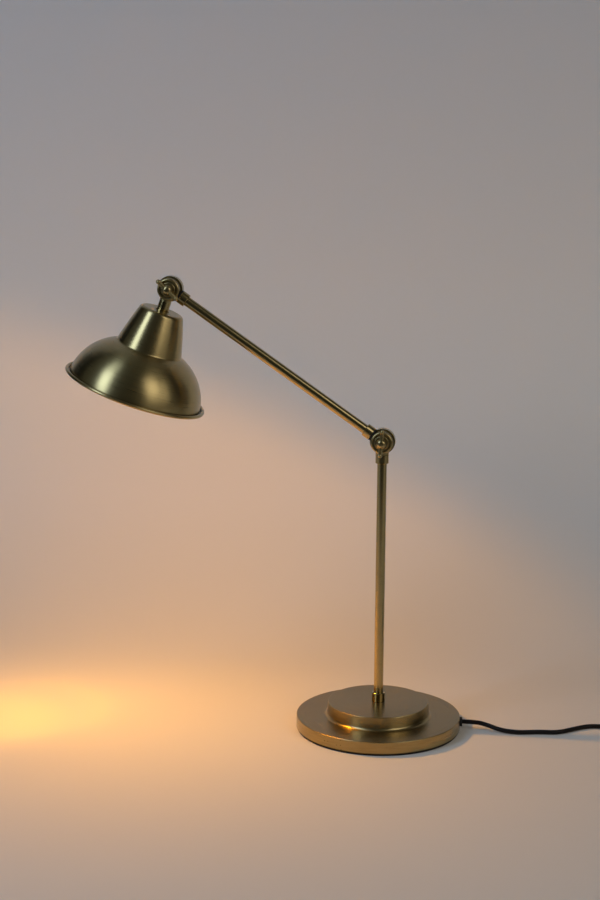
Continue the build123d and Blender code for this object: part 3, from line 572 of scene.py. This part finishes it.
paint(
    plain("black_rubber", (0.014, 0.014, 0.014), rough=0.6),
    "cable_grommet",
)
paint(
    plain("black_plastic", (0.016, 0.016, 0.017), rough=0.45, grain=2600, depth=0.35, mottle=0.2),
    "switch_lower_shell", "switch_upper_shell", "plug_body",
)
paint(
    plain("rocker_plastic", (0.02, 0.02, 0.021), rough=0.3, grain=2600, depth=0.1, mottle=0.2),
    "switch_rocker",
)
paint(
    plain("nickel", (0.62, 0.59, 0.54), rough=0.22, metal=1.0, grain=900, depth=0.05, mottle=0.08),
    "plug_pins",
)
paint(
    plain("tie_plastic", (0.02, 0.02, 0.02), rough=0.5, grain=2000),
    "coil_tie",
)
paint(
    plain("holder_plastic", (0.018, 0.017, 0.016), rough=0.35, grain=2000, depth=0.1, mottle=0.25),
    "lampholder_cap", "lampholder_body",
)
paint(
    plain("bulb_metal", (0.60, 0.58, 0.52), rough=0.3, metal=1.0, grain=1200, depth=0.1, mottle=0.12),
    "bulb_cap",
)
paint(frosted_glass("bulb_frost"), "bulb_glass")
sheath = plain("cord_sheath", (0.009, 0.006, 0.005), rough=0.42, grain=1800, depth=0.25, shine=0.2)
paint(sheath, "stem_cable", "arm_cable", "neck_cable")
cord.data.materials.append(sheath)

# Stage: a pale floor and wall, which go dark out of the photograph's view, where the brass mirrors them
STAGE_REACH = 300.0
SWEEP_FRONT = -2.5
WALL_START = 0.22
WALL_BEND = 0.50
WALL_STEPS = 16
WALL_TOP = 5.0
WALL_MIDDLE = -0.15
FLOOR_FADE = (-1.30, -0.70)
WALL_FADE = (0.85, 1.25)
WALL_FOOT = (0.0, 0.15)
FLOOR_TONES = ((0.69, 0.655, 0.615), (0.72, 0.685, 0.645))
REAR_TONES = ((0.80, 0.735, 0.665), (0.83, 0.765, 0.695))
WALL_TONE = (0.755, 0.715, 0.695)
DARK_TONE = (0.08, 0.076, 0.07)
BACKDROP_GLOW = (0.078, 0.064, 0.045)
NO_GLOW = (0.0, 0.0, 0.0)
FLOOR_GLOW = 0.4
TOP_GLOW = 0.1
GLOW_RISE = (0.0, 0.3)
GLOW_FALL = (0.45, 1.0)


def floor_tone(sheet, tones):
    """Floor colour that wanders slowly between two tones."""
    return sheet.mix(sheet.noise(sheet.coords(), scale=3, detail=3, rough=0.5), *tones)


def stage_finish(sheet, tone, glow, strength):
    """Matt surface with a glow for the camera and for reflections, which lights nothing else."""
    sheet.set("Base Color", tone)
    sheet.set("Roughness", 0.9)
    sheet.set("Specular IOR Level", 0.1)
    sheet.set("Emission Color", glow)
    seen = sheet.rays("Is Camera Ray", "Is Glossy Ray", "Is Transmission Ray")
    sheet.set("Emission Strength", sheet.times(seen, strength))


def backdrop_material():
    """Floor and wall, clear from the wall's back."""
    sheet = Sheet("backdrop")
    x, y, z = sheet.split(sheet.coords())
    near = sheet.ramp(y, *FLOOR_FADE)
    beside = sheet.ramp(sheet.math("ABSOLUTE", sheet.math("SUBTRACT", x, WALL_MIDDLE)), *WALL_FADE)
    raised = sheet.ramp(z, *WALL_FOOT)
    pale = sheet.math("SUBTRACT", near, sheet.times(beside, raised), clamp=True)
    tone = sheet.mix(raised, floor_tone(sheet, FLOOR_TONES), WALL_TONE)
    strength = sheet.times(
        sheet.ramp(z, *GLOW_RISE, FLOOR_GLOW, 1),
        sheet.ramp(z, *GLOW_FALL, 1, TOP_GLOW),
    )
    stage_finish(
        sheet, sheet.mix(pale, DARK_TONE, tone), sheet.mix(pale, NO_GLOW, BACKDROP_GLOW), strength,
    )
    either = sheet.node("ShaderNodeMixShader")
    sheet.link(sheet.node("ShaderNodeNewGeometry").outputs["Backfacing"], either.inputs[0])
    sheet.link(sheet.shader.outputs[0], either.inputs[1])
    sheet.link(sheet.node("ShaderNodeBsdfTransparent").outputs[0], either.inputs[2])
    sheet.link(either.outputs[0], sheet.out.inputs["Surface"])
    return sheet.material


def rear_material():
    """Floor behind the wall, paler by the light that the wall throws onto the floor in front."""
    sheet = Sheet("rear_floor")
    stage_finish(sheet, floor_tone(sheet, REAR_TONES), BACKDROP_GLOW, FLOOR_GLOW)
    return sheet.material


def backdrop():
    """Floor that sweeps up into a wall, and a flat floor behind it."""
    profile = [(-STAGE_REACH, 0.0), (SWEEP_FRONT, 0.0), (WALL_START, 0.0)]
    for i in range(1, WALL_STEPS + 1):
        angle = pi / 2 * i / WALL_STEPS
        profile.append((WALL_START + WALL_BEND * sin(angle), WALL_BEND * (1 - cos(angle))))
    profile.append((WALL_START + WALL_BEND, WALL_TOP))
    mesh = bmesh.new()
    left, right = ([mesh.verts.new((x, y, z)) for y, z in profile] for x in (-STAGE_REACH, STAGE_REACH))
    for i in range(len(profile) - 1):
        mesh.faces.new((left[i], right[i], right[i + 1], left[i + 1])).smooth = True
    corners = (
        (-STAGE_REACH, WALL_START), (STAGE_REACH, WALL_START),
        (STAGE_REACH, STAGE_REACH), (-STAGE_REACH, STAGE_REACH),
    )
    mesh.faces.new([mesh.verts.new((x, y, 0)) for x, y in corners]).material_index = 1
    data = bpy.data.meshes.new("backdrop")
    mesh.to_mesh(data)
    mesh.free()
    data.materials.append(backdrop_material())
    data.materials.append(rear_material())
    obj = bpy.data.objects.new("backdrop", data)
    scene.collection.objects.link(obj)


# Light: cool and warm soft boxes, and the lit bulb
LIGHT_AIM = Vector((-0.27, 0, 0.45))
COOL = (0.58, 0.75, 1.0)
WARM = (1.0, 0.93, 0.83)
PALE = (1.0, 0.94, 0.88)
AMBER = (1.0, 0.43, 0.02)
ORANGE = (1.0, 0.38, 0.0)
BULB_REACH = 0.1275
BULB_SIZE = 0.007
BEAM_WAY = Vector((-0.205, -0.050, -0.414))
ROOM_TONE = (0.94, 1.0, 0.93, 1)
ROOM_SPAN = (-0.75, 0.1)


def soft_light(name, turn, rise, reach, size, radiance, colour):
    """Soft box that faces the lamp, turn degrees from -Y towards +X and rise degrees above level."""
    data = bpy.data.lights.new(name, "AREA")
    width, height = size
    data.shape = "RECTANGLE"
    data.size = width
    data.size_y = height
    data.energy = radiance * pi * width * height
    data.color = colour
    obj = bpy.data.objects.new(name, data)
    scene.collection.objects.link(obj)
    way = Vector((
        cos(radians(rise)) * sin(radians(turn)),
        -cos(radians(rise)) * cos(radians(turn)),
        sin(radians(rise)),
    ))
    obj.location = LIGHT_AIM + way * reach
    obj.rotation_euler = (-way).to_track_quat("-Z", "Y").to_euler()


def bulb_light(name, way, power, colour, spread, edge):
    """Light of the lit bulb, which moves with the shade. Spread is the cone's full angle in degrees."""
    data = bpy.data.lights.new(name, "SPOT")
    data.shadow_soft_size = BULB_SIZE
    data.spot_size = radians(spread)
    data.spot_blend = edge
    data.energy = power
    data.color = colour
    obj = bpy.data.objects.new(name, data)
    scene.collection.objects.link(obj)
    obj.location = HEAD + SHADE_WAY * BULB_REACH
    obj.rotation_euler = way.to_track_quat("-Z", "Y").to_euler()
    obj.visible_camera = False
    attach(obj, "head")


def dim_room(front, sides):
    """World that is dark in front of the lamp and lighter to its sides and behind."""
    world = bpy.data.worlds.new("world")
    scene.world = world
    world.use_nodes = True
    tree = world.node_tree
    place = tree.nodes.new("ShaderNodeTexCoord")
    parts = tree.nodes.new("ShaderNodeSeparateXYZ")
    tree.links.new(place.outputs["Generated"], parts.inputs[0])
    level = tree.nodes.new("ShaderNodeMapRange")
    level.inputs["From Min"].default_value, level.inputs["From Max"].default_value = ROOM_SPAN
    level.inputs["To Min"].default_value = front
    level.inputs["To Max"].default_value = sides
    tree.links.new(parts.outputs["Y"], level.inputs["Value"])
    background = tree.nodes["Background"]
    background.inputs["Color"].default_value = ROOM_TONE
    tree.links.new(level.outputs["Result"], background.inputs["Strength"])


backdrop()
soft_light("key", turn=-42, rise=31, reach=2.2, size=(0.70, 1.7), radiance=4.4, colour=COOL)
soft_light("key_top", turn=-42, rise=63, reach=2.2, size=(0.60, 0.9), radiance=1.3, colour=COOL)
soft_light("right_panel", turn=59, rise=19, reach=2.4, size=(1.7, 1.5), radiance=0.68, colour=WARM)
soft_light("right_tall", turn=52, rise=32, reach=2.4, size=(0.8, 1.3), radiance=1.2, colour=PALE)
bulb_light("bulb_light", SHADE_WAY, power=11.0, colour=AMBER, spread=172, edge=0.22)
bulb_light("bulb_beam", BEAM_WAY, power=4.6, colour=ORANGE, spread=35, edge=1.0)
dim_room(front=0.034, sides=0.065)

bpy.context.view_layer.update()
